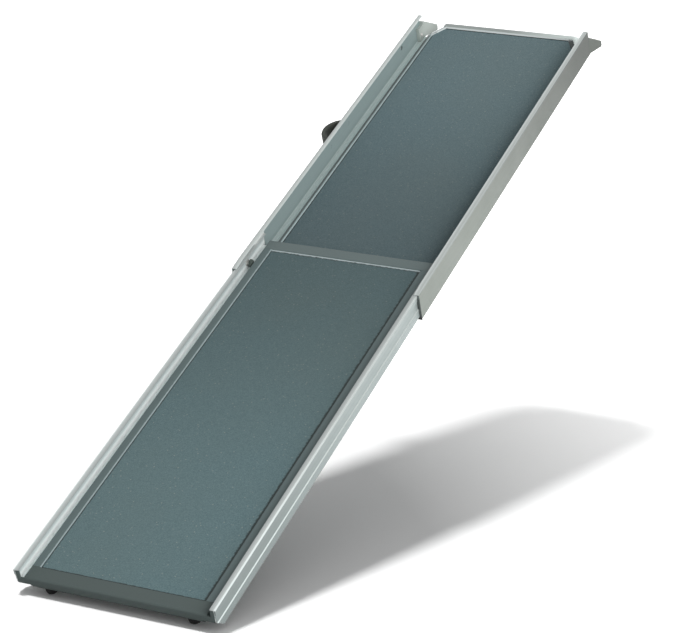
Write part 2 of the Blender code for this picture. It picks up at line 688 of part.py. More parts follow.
cut(lip, grip_block(bmesh.new(), GRIP_LENGTH + 2 * SEAT_GAP, GRIP_WIDTH + 2 * SEAT_GAP,
                    GRIP_PROUD - GRIP_THICKNESS - SEAT_GAP, CUT_PAST))
smooth(lip)
bm = grip_block(bmesh.new(), GRIP_LENGTH, GRIP_WIDTH, GRIP_PROUD - GRIP_THICKNESS, GRIP_PROUD)
new_object("lip_grip_strip", bm, rubber, upper_section)

# End caps: beak-shaped plugs in the top ends of the upper rails
tail_front = lower_head + TAIL_PAST_RAIL
cap_plug = -(tail_front + TRAVEL) - SEAT_GAP
cap_outline = [(SEAT_GAP, 0), (LIP_HEEL, 0)]
cap_outline += tip_arc_low
cap_outline += tip_arc_high
cap_outline += [(LIP_HEEL, CAP_HEIGHT), (SEAT_GAP, CAP_HEIGHT)]
plug_low = UPPER_FLANGE + SEAT_GAP
plug_high = CAP_HEIGHT - CAP_PLUG_STEP
plug_outline = [(-cap_plug, plug_low), (LIP_HEEL, plug_low), (LIP_HEEL, plug_high), (-cap_plug, plug_high)]
for side, side_name in ((-1, "left"), (1, "right")):
    low, high = sorted((side * (upper_out - CAP_THICKNESS), side * upper_out))
    cap = new_object("rail_end_cap_" + side_name, prism(bmesh.new(), cap_outline, "X", low, high),
                     cap_plastic, upper_section)
    low, high = sorted((side * (upper_out - CAP_THICKNESS), side * (upper_in - SEAT_GAP)))
    join(cap, prism(bmesh.new(), plug_outline, "X", low, high))
    smooth(cap)


# Glides: nylon liners between the nested rails, one at each mouth and one on each lower rail's head
def liner_outline(outer, inner, top, under_top, bottom, over_bottom, arm_top, arm_bottom):
    return [(arm_bottom, bottom), (outer, bottom), (outer, top), (arm_top, top), (arm_top, under_top),
            (inner, under_top), (inner, over_bottom), (arm_bottom, over_bottom)]


glide_top = UPPER_RAIL_HEIGHT - UPPER_FLANGE
for side, side_name in ((-1, "left"), (1, "right")):
    wall = upper_in - SEAT_GAP
    liner = [
        (lower_out - LOWER_TOE, UPPER_FLANGE + SEAT_GAP), (wall, UPPER_FLANGE + SEAT_GAP),
        (wall, MOUTH_GLIDE_HEIGHT), (lower_out + RUN_GAP, MOUTH_GLIDE_HEIGHT),
        (lower_out + RUN_GAP, lower_base - RUN_GAP), (lower_out - LOWER_TOE, lower_base - RUN_GAP),
    ]
    flange_high = upper_mouth - SEAT_GAP
    bm = prism(bmesh.new(), mirrored(liner, side), "Y", flange_high - MOUTH_FLANGE,
               upper_mouth + MOUTH_GLIDE_LENGTH)
    glide = new_object("mouth_glide_" + side_name, bm, nylon, upper_section)
    flange = [
        (lower_out - LOWER_TOE, -MOUTH_LUG), (upper_out, -MOUTH_LUG), (upper_out, MOUTH_FLANGE_TOP),
        (lower_out + RUN_GAP, MOUTH_FLANGE_TOP), (lower_out + RUN_GAP, lower_base - RUN_GAP),
        (lower_out - LOWER_TOE, lower_base - RUN_GAP),
    ]
    join(glide, prism(bmesh.new(), mirrored(flange, side), "Y", flange_high - MOUTH_FLANGE, flange_high))

    stop = [(upper_in - SEAT_GAP, STOP_LOW), (upper_in - SEAT_GAP, STOP_HIGH),
            (upper_in - SEAT_GAP - GLIDE_WALL, STOP_HIGH), (upper_in - SEAT_GAP - GLIDE_WALL, STOP_LOW)]
    stop_high = lower_head - TAIL_GLIDE_LENGTH - SEAT_GAP
    bm = prism(bmesh.new(), mirrored(stop, side), "Y", stop_high - STOP_LENGTH, stop_high)
    new_object("extension_stop_" + side_name, bm, nylon, upper_section)

    liner = liner_outline(upper_in - RUN_GAP, lower_out + SEAT_GAP,
                          glide_top - RUN_GAP, lower_top + SEAT_GAP,
                          UPPER_FLANGE + RUN_GAP, lower_base - SEAT_GAP,
                          upper_out - UPPER_RIM, lower_out - LOWER_TOE)
    bm = prism(bmesh.new(), mirrored(liner, side), "Y", lower_head - TAIL_GLIDE_LENGTH, tail_front)
    glide = new_object("tail_glide_" + side_name, bm, natural_nylon, lower_section)
    hook = liner_outline(upper_in - RUN_GAP, lower_in, glide_top - RUN_GAP, lower_top - LOWER_FLANGE,
                         UPPER_FLANGE + RUN_GAP, lower_base + LOWER_FLANGE,
                         upper_out - UPPER_RIM, lower_out - LOWER_TOE)
    join(glide, prism(bmesh.new(), mirrored(hook, side), "Y", lower_head + SEAT_GAP, tail_front))

# Lock: a pin through the lower left rail that drops into a hole in the upper left rail
pin_tip = -upper_out - PIN_PROUD + PIN_STROKE
knob_face = -lower_in + BUSH_LENGTH + SEAT_GAP + PIN_STROKE + SEAT_GAP
centre = Vector((0, lock_y, LOCK_HEIGHT))

bm = bmesh.new()
bush_low, bush_high = -lower_in + SEAT_GAP, -lower_in + SEAT_GAP + BUSH_LENGTH
hexagon = [(lock_y + a, LOCK_HEIGHT + b) for a, b in arc(0, 0, BUSH_RADIUS, 0, 360, 6)[:-1]]
bush = new_object("lock_bush", prism(bm, hexagon, "X", bush_low, bush_high), steel, lower_section)
cut(bush, round_cutter(bmesh.new(), PIN_RADIUS + BUSH_BORE_GAP, bush_low - CUT_PAST, bush_high + CUT_PAST,
                       lock_y, LOCK_HEIGHT))

knob_end = knob_face + KNOB_THICKNESS
pin_end = knob_face + PIN_IN_KNOB
profile = [(0, pin_tip), (PIN_RADIUS - PIN_CHAMFER, pin_tip), (PIN_RADIUS, pin_tip + PIN_CHAMFER),
           (PIN_RADIUS, pin_end), (0, pin_end)]
pin = new_object("lock_pin", turned(bmesh.new(), profile, centre, "X", 24), steel, lock)
smooth(pin)

lobes = []
for i in range(48):
    angle = 2 * math.pi * i / 48
    radius = KNOB_RADIUS + KNOB_LOBE_RISE * math.cos(KNOB_LOBES * angle)
    lobes.append((lock_y + radius * math.cos(angle), LOCK_HEIGHT + radius * math.sin(angle)))
knob = new_object("lock_knob", prism(bmesh.new(), lobes, "X", knob_face, knob_end), nylon, lock)
cut(knob, round_cutter(bmesh.new(), PIN_RADIUS + SEAT_GAP, knob_face - CUT_PAST, pin_end + SEAT_GAP,
                       lock_y, LOCK_HEIGHT))
smooth(knob)


# Carry handle: an arched grip lofted from pad to pad
def handle_section(centre, along, half_thick, half_depth):
    """A ring of points round the handle's path: a rectangle with rounded corners."""
    across = Vector((along.y, -along.x, 0))
    ring = []
    corner = min(half_thick, half_depth) * HANDLE_ROUNDNESS
    for quarter in range(4):
        sx = (1, -1, -1, 1)[quarter]
        sz = (1, 1, -1, -1)[quarter]
        for a, b in arc(0, 0, corner, 90 * quarter, 90 * quarter + 90, 2):
            ring.append(centre + across * (sx * (half_thick - corner) + a)
                        + Vector((0, 0, sz * (half_depth - corner) + b)))
    return ring


def ease(t):
    return t * t * (3 - 2 * t)


path = []
steps = 24
for i in range(steps + 1):
    t = 2 * i / steps - 1
    angle = handle_open * t
    grip = ease(min(1, (1 - abs(t)) / HANDLE_TAPER))
    thick = HANDLE_PAD_THICKNESS + (HANDLE_THICKNESS - HANDLE_PAD_THICKNESS) * grip
    deep = HANDLE_PAD_DEPTH + (HANDLE_DEPTH - HANDLE_PAD_DEPTH) * grip
    x = -handle_centre - handle_arch * math.cos(angle)
    y = -HANDLE_FROM_TOP + handle_arch * math.sin(angle)
    path.append((x, y, thick, deep))
path.insert(0, (path[0][0], path[0][1] - HANDLE_PAD, HANDLE_PAD_THICKNESS, HANDLE_PAD_DEPTH))
path.append((path[-1][0], path[-1][1] + HANDLE_PAD, HANDLE_PAD_THICKNESS, HANDLE_PAD_DEPTH))
rings = []
for i, (x, y, thick, deep) in enumerate(path):
    before, after = path[max(i - 1, 0)], path[min(i + 1, len(path) - 1)]
    along = Vector((after[0] - before[0], after[1] - before[1], 0)).normalized()
    rings.append(handle_section(Vector((x, y, HANDLE_HEIGHT)), along, thick / 2, deep / 2))
bm = skin(bmesh.new(), rings)
handle = new_object("carry_handle", bm, nylon, upper_section)
smooth(handle, 40)

# Rivets that hold the handle's pads to the rail, with heads sunk flush inside the channel
for end, end_name in ((-1, "lower"), (1, "upper")):
    place = Vector((0, -HANDLE_FROM_TOP + end * handle_pad_offset, HANDLE_HEIGHT))
    shank_end = -upper_out - SEAT_GAP - RIVET_IN_PAD
    profile = [
        (0, shank_end),
        (RIVET_RADIUS, shank_end),
        (RIVET_RADIUS, -upper_in - RIVET_SINK),
        (RIVET_HEAD_RADIUS, -upper_in - RIVET_BELOW_FACE),
        (0, -upper_in - RIVET_BELOW_FACE),
    ]
    rivet = new_object("handle_rivet_" + end_name, turned(bmesh.new(), profile, place, "X", 16),
                       steel, upper_section)
    smooth(rivet)
    cut(handle, round_cutter(bmesh.new(), RIVET_RADIUS + SEAT_GAP, shank_end - SEAT_GAP,
                             -upper_out + CUT_PAST, place.y, HANDLE_HEIGHT, 16))
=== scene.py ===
import json
import math

import bmesh
import bpy
from mathutils import Matrix, Vector


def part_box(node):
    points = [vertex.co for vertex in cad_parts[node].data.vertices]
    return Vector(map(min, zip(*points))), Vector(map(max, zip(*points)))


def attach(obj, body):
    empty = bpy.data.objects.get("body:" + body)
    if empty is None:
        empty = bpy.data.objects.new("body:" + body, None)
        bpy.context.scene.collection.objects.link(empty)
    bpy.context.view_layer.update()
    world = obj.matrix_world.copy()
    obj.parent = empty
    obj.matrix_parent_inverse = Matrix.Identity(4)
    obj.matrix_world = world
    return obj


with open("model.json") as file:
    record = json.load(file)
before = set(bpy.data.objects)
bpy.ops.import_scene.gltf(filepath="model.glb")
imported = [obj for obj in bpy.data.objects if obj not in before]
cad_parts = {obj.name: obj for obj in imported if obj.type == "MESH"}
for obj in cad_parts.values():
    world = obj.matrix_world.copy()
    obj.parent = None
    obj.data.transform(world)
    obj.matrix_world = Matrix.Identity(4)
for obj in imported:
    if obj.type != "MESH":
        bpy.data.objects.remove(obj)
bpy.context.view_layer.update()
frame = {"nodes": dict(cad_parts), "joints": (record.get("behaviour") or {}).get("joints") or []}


# Studio floor: a sweep of white paper that the two rubber feet stand on, leaning back under
# the raised ramp. It glows more toward the far end of the shadow, painted light that fades the
# shadow there, and it is see-through from its back, so that the underside can be looked at.
def feed(tree, value, socket):
    """Give a socket its value: another socket is joined to it, and a colour gets its alpha."""
    if isinstance(value, bpy.types.NodeSocket):
        tree.links.new(value, socket)
    elif socket.type == "RGBA":
        socket.default_value = (*value, 1)
    else:
        socket.default_value = value


def add(tree, kind, **settings):
    """Add a node; settings named in capitals feed its sockets, the rest are its own options."""
    node = tree.nodes.new("ShaderNode" + kind)
    for key, value in settings.items():
        if key[0].isupper():
            feed(tree, value, node.inputs[key.replace("_", " ")])
        else:
            setattr(node, key, value)
    return node


def reckon(tree, kind, operation, *values):
    """One step of Math or VectorMath on plain values or sockets."""
    node = add(tree, kind, operation=operation)
    for value, socket in zip(values, node.inputs):
        feed(tree, value, socket)
    single = kind == "Math" or operation in ("DOT_PRODUCT", "LENGTH")
    return node.outputs["Value" if single else "Vector"]


def graded(tree, place, levels):
    """A level that follows a place and holds past both ends: (place, level, place, level)."""
    low, low_level, high, high_level = levels
    grade = add(tree, "MapRange", Value=place, From_Min=low, From_Max=high, To_Min=low_level,
                To_Max=high_level)
    return grade.outputs["Result"]


def blend_colour(tree, mask, low, high):
    """A colour that goes from low to high with a mask; each is a plain colour or a socket."""
    mix = add(tree, "Mix", data_type="RGBA", Factor=mask)
    feed(tree, low, mix.inputs[6])
    feed(tree, high, mix.inputs[7])
    return mix.outputs[2]


def seen_not_lit(tree):
    """1 where the camera sees a surface, also in or through another, and 0 where light meets it."""
    rays = add(tree, "LightPath")
    seen = rays.outputs["Is Camera Ray"]
    for other in ("Is Glossy Ray", "Is Transmission Ray"):
        seen = reckon(tree, "Math", "MAXIMUM", seen, rays.outputs[other])
    return seen


LEAN = math.radians(26)
FLOOR_RADIUS = 30.0
TOE_FROM_FOOT = 0.0027
PAPER_LIT, PAPER_SEEN = (0.45, 0.45, 0.45), (0.95, 0.95, 0.95)
SHADOW_RUNS = (0.466, 0.432, 0)
# The glow is painted light on the floor that fades the shadow toward its far end.
GLOW_FROM, GLOW_FULL, GLOW = -0.40, 0.05, 0.48
WHITE = (1, 1, 1)

foot_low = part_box("foot_left")[0]
bpy.ops.object.select_all(action="DESELECT")
bpy.ops.mesh.primitive_circle_add(vertices=96, radius=FLOOR_RADIUS, fill_type="NGON",
                                  location=(0, foot_low[1] + TOE_FROM_FOOT, foot_low[2]),
                                  rotation=(-LEAN, 0, 0))
floor = bpy.context.active_object
floor.name = "studio_floor"
bpy.ops.object.transform_apply(location=True, rotation=True, scale=True)
paper = bpy.data.materials.new("studio_paper")
paper.use_nodes = True
tree = paper.node_tree
sheet = tree.nodes["Principled BSDF"]
along_shadow = reckon(tree, "VectorMath", "DOT_PRODUCT", add(tree, "TexCoord").outputs["Object"],
                      SHADOW_RUNS)
feed(tree, blend_colour(tree, seen_not_lit(tree), PAPER_LIT, PAPER_SEEN), sheet.inputs["Base Color"])
feed(tree, graded(tree, along_shadow, (GLOW_FROM, 0, GLOW_FULL, GLOW)), sheet.inputs["Emission Strength"])
feed(tree, WHITE, sheet.inputs["Emission Color"])
feed(tree, 1.0, sheet.inputs["Roughness"])
feed(tree, 0.0, sheet.inputs["Specular IOR Level"])
through = add(tree, "MixShader", Fac=add(tree, "NewGeometry").outputs["Backfacing"])
feed(tree, sheet.outputs["BSDF"], through.inputs[1])
feed(tree, add(tree, "BsdfTransparent").outputs["BSDF"], through.inputs[2])
feed(tree, through.outputs["Shader"], tree.nodes["Material Output"].inputs["Surface"])
floor.data.materials.append(paper)


# Room: bright white walls all round. They show at full strength and light the ramp at less
# than half of it.
ROOM_LIGHT = 0.45
world = bpy.data.worlds.new("bright_room")
bpy.context.scene.world = world
world.use_nodes = True
tree = world.node_tree
room = tree.nodes["Background"]
feed(tree, WHITE, room.inputs["Color"])
feed(tree, graded(tree, seen_not_lit(tree), (0, ROOM_LIGHT, 1, 1.0)), room.inputs["Strength"])


# Lamps: a small one high behind the left side draws the shadow, with a faint wide one beside
# it, and they light the floor alone. Two soft boxes on the right light the ramp alone.
def shine(name, kind, energy, direction, lit):
    """A lamp that shines one way and lights one collection."""
    lamp = bpy.data.objects.new(name, bpy.data.lights.new(name, kind))
    bpy.context.collection.objects.link(lamp)
    lamp.data.energy = energy
    lamp.rotation_mode = "QUATERNION"
    lamp.rotation_quaternion = direction.to_track_quat("-Z", "Y")
    lamp.light_linking.receiver_collection = lit
    return lamp


lit_floor = bpy.data.collections.new("lit_by_floor_lamps")
lit_floor.objects.link(floor)
for name, energy, spread, direction in (("floor_lamp", 2.4, 9, (0.3023, -0.4262, -0.8526)),
                                        ("floor_fill", 0.06, 100, (0, -0.4384, -0.8988))):
    shine(name, "SUN", energy, Vector(direction), lit_floor).data.angle = math.radians(spread)

RAMP_MIDDLE = Vector((0, -0.9, 0))
lit_ramp = bpy.data.collections.new("lit_by_soft_boxes")
for node in frame["nodes"].values():
    lit_ramp.objects.link(node)
for name, energy, size, place in (("soft_box", 175, 2.2, (3.55, -2.45, 2.95)),
                                  ("side_box", 85, 1.6, (4.60, -1.80, 1.30))):
    lamp = shine(name, "AREA", energy, RAMP_MIDDLE - Vector(place), lit_ramp)
    lamp.data.size = size
    lamp.location = place


# Camera: a long lens in front of the ramp and to its right, rolled so that the ramp, which
# lies level here, leans as it does in the photograph.
LENS = 132.92
CAMERA_PLACE = (1.9321, -4.3177, 2.8212)
CAMERA_RIGHT = Vector((0.90748, 0.39660, -0.13851))
CAMERA_UP = Vector((-0.13792, 0.59272, 0.79351))
camera = bpy.data.objects.new("camera", bpy.data.cameras.new("camera"))
bpy.context.collection.objects.link(camera)
camera.data.sensor_width = 36.0
camera.data.lens = LENS
facing = Matrix((CAMERA_RIGHT, CAMERA_UP, CAMERA_RIGHT.cross(CAMERA_UP))).transposed()
camera.matrix_world = Matrix.Translation(CAMERA_PLACE) @ facing.to_4x4()
bpy.context.scene.camera = camera
bpy.context.scene.view_settings.view_transform = "Standard"


# Upper rails: two tall channels of extruded aluminium, satin anodised. The die leaves fine
# lines along them, and hands and the load space leave dull patches. Their colour bands are
# painted light and shade: the inner walls and the shelf painted lighter, the rims painted as
# highlights, and the outer skin painted darker toward the top end.
def sockets(name, inputs, outputs):
    """Start a shader group with named inputs and outputs."""
    group = bpy.data.node_groups.new(name, "ShaderNodeTree")
    for socket, (kind, value) in inputs.items():
        made = group.interface.new_socket(name=socket, in_out="INPUT", socket_type="NodeSocket" + kind)
        made.default_value = value
    for socket in outputs:
        group.interface.new_socket(name=socket, in_out="OUTPUT", socket_type="NodeSocketFloat")
    given = group.nodes.new("NodeGroupInput").outputs
    return group, given, group.nodes.new("NodeGroupOutput").inputs


AT_ORIGIN = ("Vector", (0, 0, 0))


def die_line_group():
    """Fine lines along an extruded length. Direction is how often they change along X, Y and Z."""
    group, given, result = sockets(
        "die_lines", {"Position": AT_ORIGIN, "Direction": ("Vector", (1, 1, 1))}, ["Lines", "Height"])
    stretched = reckon(group, "VectorMath", "MULTIPLY", given["Position"], given["Direction"])
    broad = add(group, "TexNoise", Vector=stretched, Scale=0.25, Detail=3.0, Roughness=0.6)
    fine = add(group, "TexNoise", Vector=stretched, Scale=1.0, Detail=2.0, Roughness=0.5)
    both = reckon(group, "Math", "ADD", broad.outputs["Fac"], fine.outputs["Fac"])
    feed(group, reckon(group, "Math", "MULTIPLY", both, 0.5), result["Lines"])
    feed(group, fine.outputs["Fac"], result["Height"])
    return group


def patch_group():
    """Soft uneven patches, as from handling and dust, from 0 to 1."""
    group, given, result = sockets(
        "patches", {"Position": AT_ORIGIN, "Size": ("Float", 0.1)}, ["Patches"])
    often = reckon(group, "Math", "DIVIDE", 1.0, given["Size"])
    noise = add(group, "TexNoise", Vector=given["Position"], Scale=often, Detail=4.0, Roughness=0.55)
    feed(group, graded(group, noise.outputs["Fac"], (0.3, 0, 0.7, 1)), result["Patches"])
    return group


def edge_band_group():
    """A band round a line or a level, from 0 to 1, that carries painted highlights and painted shade. Across
    is 0 in the directions that it runs.
    """
    group, given, result = sockets(
        "edge_band",
        {"Position": AT_ORIGIN, "Edge": AT_ORIGIN, "Across": ("Vector", (1, 0, 1)),
         "Width": ("Float", 0.002)},
        ["Wear"])
    apart = reckon(group, "VectorMath", "SUBTRACT", given["Position"], given["Edge"])
    across = reckon(group, "VectorMath", "MULTIPLY", apart, given["Across"])
    distance = reckon(group, "VectorMath", "LENGTH", across)
    noise = add(group, "TexNoise", Vector=given["Position"], Scale=160.0, Detail=3.0)
    uneven = graded(group, noise.outputs["Fac"], (0.3, 0.6, 0.7, 1.2))
    reach = reckon(group, "Math", "MULTIPLY", uneven, given["Width"])
    core = reckon(group, "Math", "MULTIPLY", reach, 0.5)
    feed(group, graded(group, distance, (core, 1, reach, 0)), result["Wear"])
    return group


die_lines = die_line_group()
patches = patch_group()
edge_band = edge_band_group()


def start_finish(name, roughness, metallic):
    """A material with its shader, and the position on the piece that its patterns read."""
    material = bpy.data.materials.new(name)
    material.use_nodes = True
    tree = material.node_tree
    shader = tree.nodes["Principled BSDF"].inputs
    feed(tree, roughness, shader["Roughness"])
    feed(tree, metallic, shader["Metallic"])
    return material, tree, shader, add(tree, "TexCoord").outputs["Object"]


def emboss(tree, height, shader, depth):
    bump = add(tree, "Bump", Strength=1.0, Distance=depth, Height=height)
    feed(tree, bump.outputs["Normal"], shader["Normal"])


SATIN, BARE_METAL, ANODISED = 0.46, 0.45, 0.22
LINE_DEPTH, HAND_PATCH = 0.00004, 0.13


def metal_finish(name, direction, dull, bright):
    """Plain metal with fine lines along one direction."""
    material, tree, shader, position = start_finish(name, SATIN, BARE_METAL)
    lines = add(tree, "Group", node_tree=die_lines, Position=position, Direction=direction)
    handled = add(tree, "Group", node_tree=patches, Position=position, Size=HAND_PATCH)
    feed(tree, blend_colour(tree, lines.outputs["Lines"], dull, bright), shader["Base Color"])
    feed(tree, graded(tree, handled.outputs["Patches"], (0, 0.42, 1, 0.52)), shader["Roughness"])
    emboss(tree, lines.outputs["Height"], shader, LINE_DEPTH)
    return material


def banded(tree, height, stops):
    """A colour that changes with a height. Stops are (height, colour), lowest first."""
    low, high = stops[0][0], stops[-1][0]
    ramp = add(tree, "ValToRGB", Fac=graded(tree, height, (low, 0, high, 1)))
    marks = ramp.color_ramp.elements
    marks[0].color = (*stops[0][1], 1)
    marks[1].color = (*stops[-1][1], 1)
    for place, colour in stops[1:-1]:
        marks.new((place - low) / (high - low)).color = (*colour, 1)
    return ramp.outputs["Color"]


def dim(stops, tone):
    return [(place, tuple(tone * part for part in colour)) for place, colour in stops]


def ends(tree, place, low, low_stops, high, high_stops):
    """Painted bands of light and shade up a face that change from one end of it to the other."""
    return blend_colour(tree, graded(tree, place["Y"], (low, 0, high, 1)),
                        banded(tree, place["Z"], low_stops), banded(tree, place["Z"], high_stops))


ALONG = (900, 3, 900)
WALL_BLEND = 0.0003


def rail_finish(name, mid_wall, inside, outside, across, shelf):
    """Satin anodised extrusion: painted bands of light and shade up its inner and outer faces, die lines
    along it.

    mid_wall is how far out the faces part. inside and outside are (low Y, stops there, high
    Y, stops there). across and shelf are painted light and shade as tones by X and by the
    distance from the middle.
    """
    material, tree, shader, position = start_finish(name, SATIN, ANODISED)
    lines = add(tree, "Group", node_tree=die_lines, Position=position, Direction=ALONG)
    handled = add(tree, "Group", node_tree=patches, Position=position, Size=HAND_PATCH)
    place = add(tree, "SeparateXYZ", Vector=position).outputs
    side = reckon(tree, "Math", "ABSOLUTE", place["X"])
    out = graded(tree, side, (mid_wall - WALL_BLEND, 0, mid_wall + WALL_BLEND, 1))
    bands = blend_colour(tree, out, ends(tree, place, *inside), ends(tree, place, *outside))
    tone = graded(tree, lines.outputs["Lines"], (0, 0.88, 1, 1.12))
    tone = reckon(tree, "Math", "MULTIPLY", tone, graded(tree, place["X"], across))
    tone = reckon(tree, "Math", "MULTIPLY", tone, graded(tree, side, shelf))
    toned = add(tree, "HueSaturation", Color=bands, Value=tone)
    feed(tree, toned.outputs["Color"], shader["Base Color"])
    feed(tree, graded(tree, handled.outputs["Patches"], (0, 0.40, 1, 0.52)), shader["Roughness"])
    emboss(tree, lines.outputs["Height"], shader, LINE_DEPTH)
    return material


def dress(material, *names):
    """Give CAD nodes a finish."""
    for name in names:
        for slot in frame["nodes"][name].material_slots:
            slot.material = material


rail_low, rail_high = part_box("upper_rail_right")
rail_out, base, rim = rail_high[0], rail_low[2], rail_high[2]
shelf_top, wall_foot = base + 0.0030, base + 0.0060
shade_foot, rim_under, rim_face = rim - 0.013, rim - 0.0052, rim - 0.0034
# Painted light and shade up the faces: the shelf and the wall under the rim painted lighter where shade
# falls, the rim tops and the outer rim edge painted as highlights, and the outer skin painted darker.
SHELF_LIT, INNER_WALL_LIT, WALL_LIT_UNDER_RIM = (0.54, 0.62, 0.61), (0.270, 0.340, 0.340), (0.33, 0.41, 0.41)
RIM_TOP_HIGHLIGHT = (0.50, 0.54, 0.53)
OUTER_SKIN_SHADE, OUTER_RIM_HIGHLIGHT = (0.230, 0.259, 0.232), (0.40, 0.44, 0.43)
upper_inside = ((base, SHELF_LIT), (shelf_top, SHELF_LIT), (wall_foot, INNER_WALL_LIT), (shade_foot, INNER_WALL_LIT),
                (rim_under, WALL_LIT_UNDER_RIM), (rim_face, RIM_TOP_HIGHLIGHT), (rim, RIM_TOP_HIGHLIGHT))
upper_outside = ((base, OUTER_SKIN_SHADE), (rim - 0.004, OUTER_SKIN_SHADE), (rim - 0.001, OUTER_RIM_HIGHLIGHT), (rim, OUTER_RIM_HIGHLIGHT))
upper_metal = rail_finish(
    "upper_rail_aluminium", rail_out - 0.0010,
    inside=(-0.80, dim(upper_inside, 0.86), -0.05, dim(upper_inside, 0.97)),
    outside=(-0.72, dim(upper_outside, 0.95), -0.05, dim(upper_outside, 0.34)),
    across=(rail_out - 0.010, 1.0, rail_out, 0.80),
    shelf=(rail_out - 0.014, 1.5, rail_out - 0.003, 1.0))
dress(upper_metal, "upper_rail_left", "upper_rail_right")


# Upper crossmembers: three rectangular aluminium tubes let into the deck's underside, cut
# from stock, so their lines run across the ramp.
CROSSWAYS = (3, 900, 900)
cross_metal = metal_finish("crossmember_aluminium", CROSSWAYS, (0.38, 0.40, 0.39), (0.52, 0.54, 0.53))
dress(cross_metal, "upper_crossmember_top", "upper_crossmember_middle", "upper_crossmember_mouth")


# Upper deck: a moulded panel of dark grey plastic with a fine spark-eroded grain and rubbed
# patches, with a painted highlight beside the mat's left edge and along its top bead, and
# painted shade in its top right corner. It is screwed down on the rails' shelves.
def grain_group():
    """The fine grain of a moulded surface: its height, and a tone from 0 to 1."""
    group, given, result = sockets(
        "moulded_grain", {"Position": AT_ORIGIN, "Scale": ("Float", 900.0)}, ["Tone", "Height"])
    noise = add(group, "TexNoise", Vector=given["Position"], Scale=given["Scale"], Detail=3.0, Roughness=0.65)
    cells = add(group, "TexVoronoi", feature="SMOOTH_F1", Vector=given["Position"], Scale=given["Scale"])
    feed(group, noise.outputs["Fac"], result["Tone"])
    feed(group, reckon(group, "Math", "ADD", noise.outputs["Fac"], cells.outputs["Distance"]),
         result["Height"])
    return group


moulded_grain = grain_group()


def edge_colours(tree, position, colour, edges):
    """Tints along edges, mostly painted highlights and painted shade, each (place, across, width, colour),
    the last one on top.
    """
    for place, across, width, tint in edges:
        line = add(tree, "Group", node_tree=edge_band, Position=position, Edge=place, Across=across,
                   Width=width)
        colour = blend_colour(tree, line.outputs["Wear"], colour, tint)
    return colour


RUB_PATCH, RUB_SHARE, RUB_POLISH = 0.07, 0.35, 0.06


def moulded_finish(name, dark, light, rubbed, roughness, grain=900.0, depth=0.00012, edges=(), across=None):
    """Moulded plastic or rubber: grain, uneven tone, rubbed patches, and tints along edges.

    across is (X, tone, X, tone), painted light that changes over the piece's width.
    """
    material, tree, shader, position = start_finish(name, roughness, 0.0)
    texture = add(tree, "Group", node_tree=moulded_grain, Position=position, Scale=grain)
    rubbing = add(tree, "Group", node_tree=patches, Position=position, Size=RUB_PATCH)
    colour = blend_colour(tree, texture.outputs["Tone"], dark, light)
    rubs = reckon(tree, "Math", "MULTIPLY", rubbing.outputs["Patches"], RUB_SHARE)
    colour = blend_colour(tree, rubs, colour, rubbed)
    if across:
        place = add(tree, "SeparateXYZ", Vector=position).outputs
        toned = add(tree, "HueSaturation", Color=colour, Value=graded(tree, place["X"], across))
        colour = toned.outputs["Color"]
    feed(tree, edge_colours(tree, position, colour, edges), shader["Base Color"])
    levels = (0, roughness - RUB_POLISH, 1, roughness + RUB_POLISH)
    feed(tree, graded(tree, rubbing.outputs["Patches"], levels), shader["Roughness"])
    emboss(tree, texture.outputs["Height"], shader, depth)
    return material


# Painted highlights: the pale line beside the mat's left edge and the white top bead. Painted shade: the two
# dark spots in the top right corner.
LEFT_EDGE_HIGHLIGHT, IN_SHADE, BEAD_HIGHLIGHT = (0.275, 0.345, 0.350), (0.024, 0.034, 0.034), (0.56, 0.61, 0.61)
BEAD = 0.0035
mat_low, mat_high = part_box("upper_tread_mat")
deck_low, deck_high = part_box("upper_deck_panel")
upper_plastic = moulded_finish(
    "upper_deck_plastic", (0.080, 0.100, 0.100), (0.115, 0.138, 0.138), (0.135, 0.158, 0.155), 0.55,
    edges=(((mat_low[0] - BEAD / 2, 0, deck_high[2]), (1, 0, 1), 0.0025, LEFT_EDGE_HIGHLIGHT),
           ((0, deck_high[1] - BEAD / 2, deck_high[2]), (0, 1, 0), 0.050, BEAD_HIGHLIGHT),
           ((deck_high[0] + 0.002, deck_high[1] - 0.026, 0), (1, 1, 0), 0.044, IN_SHADE),
           ((deck_high[0] - 0.014, deck_high[1] - 0.015, 0), (1, 1, 0), 0.021, IN_SHADE)))
dress(upper_plastic, "upper_deck_panel")


# Upper tread: a mat coated with coarse mineral grit in resin, blue-grey with a few pale
# grains, glued into the deck's recess. It is painted darker toward the joint and lighter far
# from it, with painted shade along its left and top edges.
def grit_group():
    """Grains of grit: a tone for each grain, the few pale ones, and their height."""
    group, given, result = sockets(
        "grit", {"Position": AT_ORIGIN, "Grain": ("Float", 0.0012)}, ["Tone", "Flecks", "Height"])
    often = reckon(group, "Math", "DIVIDE", 1.0, given["Grain"])
    seldom = reckon(group, "Math", "MULTIPLY", often, 0.34)
    grains = add(group, "TexVoronoi", Vector=given["Position"], Scale=often, Randomness=1.0)
    spots = add(group, "TexVoronoi", Vector=given["Position"], Scale=seldom, Randomness=1.0)
    rough = add(group, "TexNoise", Vector=given["Position"], Scale=often, Detail=2.0)
    pick = add(group, "SeparateColor", Color=spots.outputs["Color"])
    pale = graded(group, pick.outputs["Red"], (0.93, 0, 0.98, 1))
    small = graded(group, spots.outputs["Distance"], (0.45, 0, 0.25, 1))
    tone = add(group, "SeparateColor", Color=grains.outputs["Color"])
    feed(group, tone.outputs["Red"], result["Tone"])
    feed(group, reckon(group, "Math", "MULTIPLY", pale, small), result["Flecks"])
    feed(group, reckon(group, "Math", "SUBTRACT", rough.outputs["Fac"], grains.outputs["Distance"]),
         result["Height"])
    return group


grit = grit_group()
GRAIN_SIZE, GRIT_DEPTH, GRIT_ROUGHNESS = 0.0012, 0.0004, 0.92
SLOW_PATCH, SLOW_SHARE = 0.30, 0.30
JOINT, FADE_LENGTH = -0.85, 0.75
FLECK = (0.19, 0.23, 0.22)


